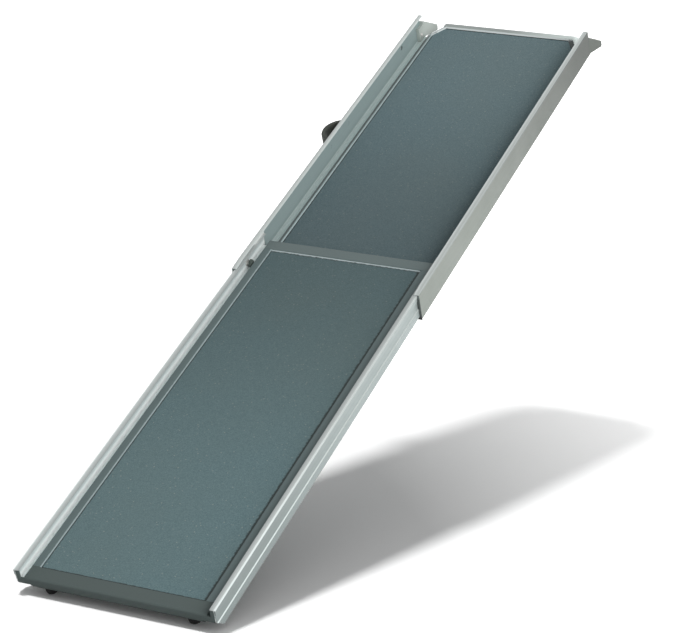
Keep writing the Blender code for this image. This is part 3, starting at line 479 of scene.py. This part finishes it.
def tread_finish(name, dark, light, warm, shaded_at_joint, lit_far_off, edges):
    """A grit tread: two tones of grain, pale flecks, slow warm patches, painted shade along edges, and
    painted shade near the joint.

    Its two tones, painted shade at the joint and painted light far off, are set at the joint and FADE_LENGTH
    from it.
    """
    material, tree, shader, position = start_finish(name, GRIT_ROUGHNESS, 0.0)
    grains = add(tree, "Group", node_tree=grit, Position=position, Grain=GRAIN_SIZE)
    shade = add(tree, "Group", node_tree=patches, Position=position, Size=SLOW_PATCH)
    colour = blend_colour(tree, grains.outputs["Tone"], dark, light)
    slow = reckon(tree, "Math", "MULTIPLY", shade.outputs["Patches"], SLOW_SHARE)
    colour = blend_colour(tree, slow, colour, warm)
    colour = blend_colour(tree, grains.outputs["Flecks"], colour, FLECK)
    place = add(tree, "SeparateXYZ", Vector=position).outputs
    from_joint = reckon(tree, "Math", "SUBTRACT", place["Y"], JOINT)
    tone = add(tree, "MapRange", interpolation_type="SMOOTHSTEP",
               Value=reckon(tree, "Math", "ABSOLUTE", from_joint), From_Max=FADE_LENGTH,
               To_Min=shaded_at_joint, To_Max=lit_far_off)
    toned = add(tree, "HueSaturation", Color=colour, Value=tone.outputs["Result"])
    feed(tree, edge_colours(tree, position, toned.outputs["Color"], edges), shader["Base Color"])
    emboss(tree, grains.outputs["Height"], shader, GRIT_DEPTH)
    return material


upper_grit = tread_finish(
    "upper_tread_grit", (0.076, 0.125, 0.140), (0.129, 0.190, 0.205), (0.119, 0.150, 0.145), 0.68, 1.14,
    (((mat_low[0], 0, mat_high[2]), (1, 0, 0), 0.0026, IN_SHADE),
     ((0, mat_high[1], mat_high[2]), (0, 1, 0), 0.0050, IN_SHADE)))
dress(upper_grit, "upper_tread_mat")


# Lip: a ribbed moulding in lighter grey that hooks over the sill, screwed under the deck's
# end, with a rubber strip pressed into its underside to grip the paint.
FINE_GRAIN, FINE_DEPTH = 1500.0, 0.00008
lip_low, lip_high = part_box("top_lip")
# Painted light: the lip is painted lighter over its right half, up to 2.5 times at its right end.
lip_grey = moulded_finish("lip_plastic", (0.255, 0.290, 0.280), (0.315, 0.350, 0.340), (0.340, 0.370, 0.360),
                          0.52, across=(0.0, 1.0, lip_high[0], 2.5))
dress(lip_grey, "top_lip")
rubber = moulded_finish("black_rubber", (0.010, 0.010, 0.010), (0.016, 0.016, 0.016), (0.035, 0.034, 0.032),
                        0.82, FINE_GRAIN, FINE_DEPTH)
dress(rubber, "lip_grip_strip")


# Rail end caps: moulded plugs in the top ends of the upper rails, each held by a
# cross-recessed screw through its inner face. They are one plastic in lit and shaded copies:
# the left one painted lighter, the right one painted darker.
lit_cap = moulded_finish("cap_plastic_lit", (0.300, 0.338, 0.314), (0.370, 0.410, 0.386),
                          (0.410, 0.450, 0.426), 0.60)
dress(lit_cap, "rail_end_cap_left")
shaded_cap = moulded_finish("cap_plastic", (0.062, 0.073, 0.063), (0.082, 0.095, 0.082),
                          (0.100, 0.112, 0.100), 0.62)
dress(shaded_cap, "rail_end_cap_right")


def pick_faces(piece, wanted):
    """In edit mode, select the faces that pass a test of their normal."""
    bpy.ops.mesh.select_mode(type="FACE")
    bpy.ops.mesh.select_all(action="DESELECT")
    shape = bmesh.from_edit_mesh(piece.data)
    for face in shape.faces:
        face.select_set(wanted(face.normal))
    bmesh.update_edit_mesh(piece.data)


def fastener_head(radius, height, dome, steps=20):
    """A head standing on the XY plane, its top edge rounded over."""
    bpy.ops.object.select_all(action="DESELECT")
    bpy.ops.mesh.primitive_cylinder_add(vertices=steps, radius=radius, depth=height,
                                        location=(0, 0, height / 2))
    head = bpy.context.active_object
    bpy.ops.object.transform_apply(location=True, rotation=True, scale=True)
    bpy.ops.object.mode_set(mode="EDIT")
    pick_faces(head, lambda normal: normal.z > 0.9)
    bpy.ops.mesh.bevel(offset=dome, segments=3, affect="EDGES")
    bpy.ops.object.mode_set(mode="OBJECT")
    return head


def cross_recess(head, arm, width, low, high):
    """Sink a cross for the driver into a head."""
    bpy.ops.object.select_all(action="DESELECT")
    bpy.ops.mesh.primitive_cube_add(size=1, location=(0, 0, (low + high) / 2),
                                    scale=(width, width, high - low))
    cross = bpy.context.active_object
    bpy.ops.object.transform_apply(location=True, rotation=True, scale=True)
    bpy.ops.object.mode_set(mode="EDIT")
    pick_faces(cross, lambda normal: abs(normal.z) < 0.5)
    bpy.ops.mesh.extrude_faces_move(TRANSFORM_OT_shrink_fatten={"value": arm - width / 2})
    bpy.ops.object.mode_set(mode="OBJECT")
    bpy.ops.object.select_all(action="DESELECT")
    head.select_set(True)
    bpy.context.view_layer.objects.active = head
    sink = head.modifiers.new("recess", "BOOLEAN")
    sink.operation = "DIFFERENCE"
    sink.solver = "EXACT"
    sink.object = cross
    bpy.ops.object.modifier_apply(modifier="recess")
    bpy.data.objects.remove(cross)


def set_out(pattern, name, places, body, material):
    """Copies of a fastener as one piece, each put in place, facing its own way and turned."""
    copies = []
    for place, facing, spin in places:
        mesh = pattern.data.copy()
        turn = Vector(facing).to_track_quat("Z", "Y").to_matrix().to_4x4()
        mesh.transform(Matrix.Translation(place) @ turn @ Matrix.Rotation(math.radians(spin), 4, "Z"))
        copy = bpy.data.objects.new(name, mesh)
        bpy.context.collection.objects.link(copy)
        copies.append(copy)
    bpy.ops.object.select_all(action="DESELECT")
    for copy in copies:
        copy.select_set(True)
    bpy.context.view_layer.objects.active = copies[0]
    bpy.ops.object.join()
    piece = bpy.context.active_object
    piece.name = name
    piece.data.materials.clear()
    piece.data.materials.append(material)
    bpy.ops.object.shade_smooth_by_angle(angle=math.radians(35))
    lit_ramp.objects.link(piece)
    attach(piece, body)


CAP_SCREW_FROM_PLUG_END = 0.0087
CAP_SCREW_HEIGHT = 0.0155
CAP_THICKNESS = 0.009
EVERY_WAY = (700, 700, 700)
zinc = metal_finish("zinc_plate", EVERY_WAY, (0.42, 0.42, 0.40), (0.60, 0.60, 0.58))
pan_screw = fastener_head(radius=0.0038, height=0.0020, dome=0.0011)
cross_recess(pan_screw, arm=0.0019, width=0.0008, low=0.0009, high=0.0030)
cap_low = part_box("rail_end_cap_right")[0]
set_out(pan_screw, "cap_screws",
        [((side * (rail_out - CAP_THICKNESS), cap_low[1] + CAP_SCREW_FROM_PLUG_END,
           base + CAP_SCREW_HEIGHT), (-side, 0, 0), 25) for side in (-1, 1)],
        "upper_section", zinc)


# Upper deck's fastenings, all on the underside: screws up through the rails' shelves into
# the deck, a rivet into each end of each tube, and four screws through the lip's tang.
DOWN = (0, 0, -1)
FASTENED_LINE = mat_high[0] + 0.0078
LIP_SCREW_INSET = 0.012
LIP_SCREWS = (-0.152, -0.05, 0.05, 0.152)


def middles(*names):
    """Where along the ramp the middles of some nodes are."""
    return [sum(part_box(name)[side][1] for side in (0, 1)) / 2 for name in names]


def both_sides(places, height):
    """Fasteners in two lines along the ramp, facing down, each turned another way."""
    return [((side * FASTENED_LINE, y, height), DOWN, 40 * side + 1000 * y)
            for side in (-1, 1) for y in places]


set_out(pan_screw, "upper_deck_screws", both_sides([-0.20, -0.30, -0.40, -0.60, -0.70, -0.80], base),
        "upper_section", zinc)
domed_rivet = fastener_head(radius=0.0040, height=0.0016, dome=0.0012)
upper_tubes = middles("upper_crossmember_top", "upper_crossmember_middle", "upper_crossmember_mouth")
set_out(domed_rivet, "upper_tube_rivets", both_sides(upper_tubes, base), "upper_section", zinc)
set_out(pan_screw, "lip_screws",
        [((x, lip_low[1] + LIP_SCREW_INSET, deck_low[2]), DOWN, 300 * x) for x in LIP_SCREWS],
        "upper_section", zinc)


# Hole covers: two small domed caps of pressed aluminium over the holes in the outside of
# the upper left rail that the lock pin drops into, one for each length of the ramp.
COVER_RADIUS, COVER_HEIGHT = 0.0082, 0.0030
COVER_WALL, COVER_RING = 0.0008, 0.0010
travel = next(joint["range_m"][1] for joint in frame["joints"] if joint["name"] == "telescope_slide")
pin_low, pin_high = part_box("lock_pin")
pin_y, pin_z = (pin_low[1] + pin_high[1]) / 2, (pin_low[2] + pin_high[2]) / 2
cover_metal = metal_finish("cover_aluminium", EVERY_WAY, (0.60, 0.66, 0.65), (0.72, 0.78, 0.77))
cover = fastener_head(COVER_RADIUS, COVER_HEIGHT, dome=0.0014, steps=32)
bpy.ops.object.mode_set(mode="EDIT")
pick_faces(cover, lambda normal: normal.z < -0.9)
bpy.ops.mesh.inset(thickness=COVER_WALL)
bpy.ops.mesh.extrude_region_move(TRANSFORM_OT_translate={"value": (0, 0, COVER_HEIGHT - COVER_WALL)})
bpy.ops.mesh.inset(thickness=COVER_RING)
bpy.ops.object.mode_set(mode="OBJECT")
set_out(cover, "hole_covers", [((-rail_out, y, pin_z), (-1, 0, 0), 0) for y in (pin_y, pin_y + travel)],
        "upper_section", cover_metal)


# Lower rails: two shallower channels of the same extruded aluminium that run inside the
# upper ones. Their bands are painted light and shade: inner walls brighter than the upper
# rails', a ledge painted light where shade falls, and painted highlights at the groove's edge
# and under the rim, strongest toward the low end.
inner_low, inner_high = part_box("lower_rail_right")
low_rim = inner_high[2]
groove, ledge_top, wall_turn, wall_face = base + 0.0204, base + 0.029, base + 0.036, base + 0.041
LEDGE, LOW_MID, LOW_WALL = (0.93, 0.98, 0.97), (0.42, 0.475, 0.475), (0.375, 0.425, 0.425)
LOW_LIP = (0.45, 0.485, 0.48)
lower_inside = ((base, LEDGE), (ledge_top, LEDGE), (wall_turn, LOW_MID), (wall_face, LOW_WALL),
                (low_rim - 0.0050, LOW_WALL), (low_rim - 0.0036, LOW_LIP), (low_rim, LOW_LIP))


def grooved(skin, line, top):
    """Bands up the grooved outer face: painted highlights at the groove's edge and under the rim."""
    return ((inner_low[2], skin), (groove - 0.0004, skin), (groove - 0.0002, line),
            (groove + 0.0012, line), (groove + 0.0014, skin), (low_rim - 0.0024, skin),
            (low_rim - 0.0018, line), (low_rim - 0.0004, line), (low_rim, top))


lower_metal = rail_finish(
    "lower_rail_aluminium", inner_high[0] - 0.0024,
    inside=(-1.75, lower_inside, -0.95, dim(lower_inside, 0.92)),
    outside=(-1.62, grooved((0.170, 0.198, 0.195), (0.47, 0.52, 0.51), (0.62, 0.67, 0.66)),
             -1.30, grooved((0.230, 0.265, 0.261), (0.335, 0.365, 0.355), (0.50, 0.54, 0.53))),
    across=(0, 1.0, inner_high[0] - 0.010, 0.90),
    shelf=(inner_high[0] - 0.010, 0.80, inner_high[0], 1.30))
dress(lower_metal, "lower_rail_left", "lower_rail_right")


# Lower crossmembers: three tubes of the same stock as the upper ones, let into the lower
# deck's underside and riveted at their ends.
dress(cross_metal, "lower_crossmember_top", "lower_crossmember_middle", "lower_crossmember_nose")


# Lower deck: a panel of the same moulded plastic as the upper one, riveted on the rails'
# ledges, with its header at the joint and the nose piece that closes the rails' ends.
# Painted highlight: a faint pale line beside the mat's left edge. Painted shade: a dark line beside its right
# edge.
FAINT_EDGE_HIGHLIGHT = (0.205, 0.255, 0.260)
lower_mat_low, lower_mat_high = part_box("lower_tread_mat")
lower_deck_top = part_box("lower_deck_panel")[1][2]
lower_plastic = moulded_finish(
    "lower_deck_plastic", (0.066, 0.096, 0.098), (0.096, 0.133, 0.135), (0.113, 0.153, 0.152), 0.60,
    edges=(((lower_mat_low[0] - 0.0012, 0, lower_deck_top), (1, 0, 1), 0.0021, FAINT_EDGE_HIGHLIGHT),
           ((lower_mat_high[0], 0, lower_deck_top), (1, 0, 1), 0.0022, IN_SHADE)))
dress(lower_plastic, "lower_deck_panel")
header_plastic = moulded_finish("header_plastic", (0.076, 0.104, 0.104), (0.104, 0.140, 0.140),
                                (0.125, 0.159, 0.156), 0.60)
dress(header_plastic, "lower_deck_header")
nose_plastic = moulded_finish("nose_plastic", (0.048, 0.066, 0.064), (0.066, 0.088, 0.085),
                              (0.082, 0.104, 0.099), 0.80)
dress(nose_plastic, "nose_piece")


# Lower deck's fastenings: low zinc rivets up through the ledges into the deck, the tubes and
# the nose, flat enough to pass over the upper deck as the ramp closes.
LEDGE_UNDERSIDE = base + 0.0195
low_rivet = fastener_head(radius=0.0036, height=0.0008, dome=0.0005)
lower_tubes = middles("lower_crossmember_top", "lower_crossmember_middle", "lower_crossmember_nose",
                      "nose_piece")
set_out(low_rivet, "lower_deck_rivets",
        both_sides(lower_tubes + [-1.04, -1.14, -1.24, -1.43, -1.53, -1.63], LEDGE_UNDERSIDE),
        "lower_section", zinc)


# Lower tread: the same grit mat as the upper one, glued into the lower deck's recess, with
# painted shade along its edges and a painted highlight as a pale line along the header. It is
# painted darker toward the joint.
HEADER_EDGE_HIGHLIGHT = (0.40, 0.47, 0.48)
lower_grit = tread_finish(
    "lower_tread_grit", (0.070, 0.122, 0.134), (0.118, 0.186, 0.197), (0.109, 0.147, 0.139), 0.69, 1.02,
    (((lower_mat_low[0], 0, lower_mat_high[2]), (1, 0, 0), 0.0022, IN_SHADE),
     ((lower_mat_high[0], 0, lower_mat_high[2]), (1, 0, 0), 0.0055, IN_SHADE),
     ((0, lower_mat_low[1], lower_mat_high[2]), (0, 1, 0), 0.0030, IN_SHADE),
     ((0, lower_mat_high[1], lower_mat_high[2]), (0, 1, 0), 0.0080, IN_SHADE),
     ((0, lower_mat_high[1], lower_mat_high[2]), (0, 1, 0), 0.0050, HEADER_EDGE_HIGHLIGHT)))
dress(lower_grit, "lower_tread_mat")


# Feet: two round pads of black rubber pressed into sockets under the nose, scuffed grey by
# the ground.
foot_rubber = moulded_finish("foot_rubber", (0.006, 0.006, 0.006), (0.010, 0.010, 0.010),
                             (0.020, 0.020, 0.019), 0.85, FINE_GRAIN, FINE_DEPTH)
dress(foot_rubber, "foot_left", "foot_right")


# Glides and stops: nylon liners clipped between the nested rails, and the blocks that end
# the slide. They are a little waxy and scuffed where they run.
WAXY_GRAIN, WAXY_DEPTH = 700.0, 0.00005
GLIDE_TOE = (0.016, 0.018, 0.018)
stop_nylon = moulded_finish("black_nylon", (0.016, 0.018, 0.018), (0.026, 0.028, 0.028),
                            (0.060, 0.062, 0.062), 0.42, WAXY_GRAIN, WAXY_DEPTH)
dress(stop_nylon, "extension_stop_left", "extension_stop_right")
# The mouth glides are darker toward their foot.
glide_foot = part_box("mouth_glide_right")[0][2]
glide_nylon = moulded_finish(
    "mouth_glide_nylon", (0.055, 0.066, 0.064), (0.080, 0.094, 0.091), (0.100, 0.114, 0.110), 0.60,
    WAXY_GRAIN, WAXY_DEPTH, edges=(((0, 0, glide_foot), (0, 0, 1), 0.014, GLIDE_TOE),))
dress(glide_nylon, "mouth_glide_left", "mouth_glide_right")
pale_nylon = moulded_finish("natural_nylon", (0.50, 0.52, 0.50), (0.58, 0.60, 0.58), (0.48, 0.50, 0.48),
                            0.45, WAXY_GRAIN, WAXY_DEPTH)
dress(pale_nylon, "tail_glide_left", "tail_glide_right")


# Lock: a zinc-plated steel pin that drops through a bush into the upper rail. A moulded knob
# pressed on its inner end draws it back.
knob_plastic = moulded_finish("knob_plastic", (0.040, 0.053, 0.047), (0.056, 0.072, 0.065),
                              (0.072, 0.090, 0.082), 0.72)
dress(knob_plastic, "lock_knob")
dress(zinc, "lock_bush", "lock_pin")


# Carry handle: an arch moulded in dark plastic, held on the outside of the upper left rail
# by two rivets finished to match the rail.
handle_plastic = moulded_finish("handle_plastic", (0.038, 0.044, 0.037), (0.052, 0.058, 0.050),
                                (0.068, 0.073, 0.064), 0.74)
dress(handle_plastic, "carry_handle")
dress(upper_metal, "handle_rivet_lower", "handle_rivet_upper")


# The patterns that the fasteners were copied from go.
for pattern in (pan_screw, domed_rivet, low_rivet, cover):
    bpy.data.objects.remove(pattern)
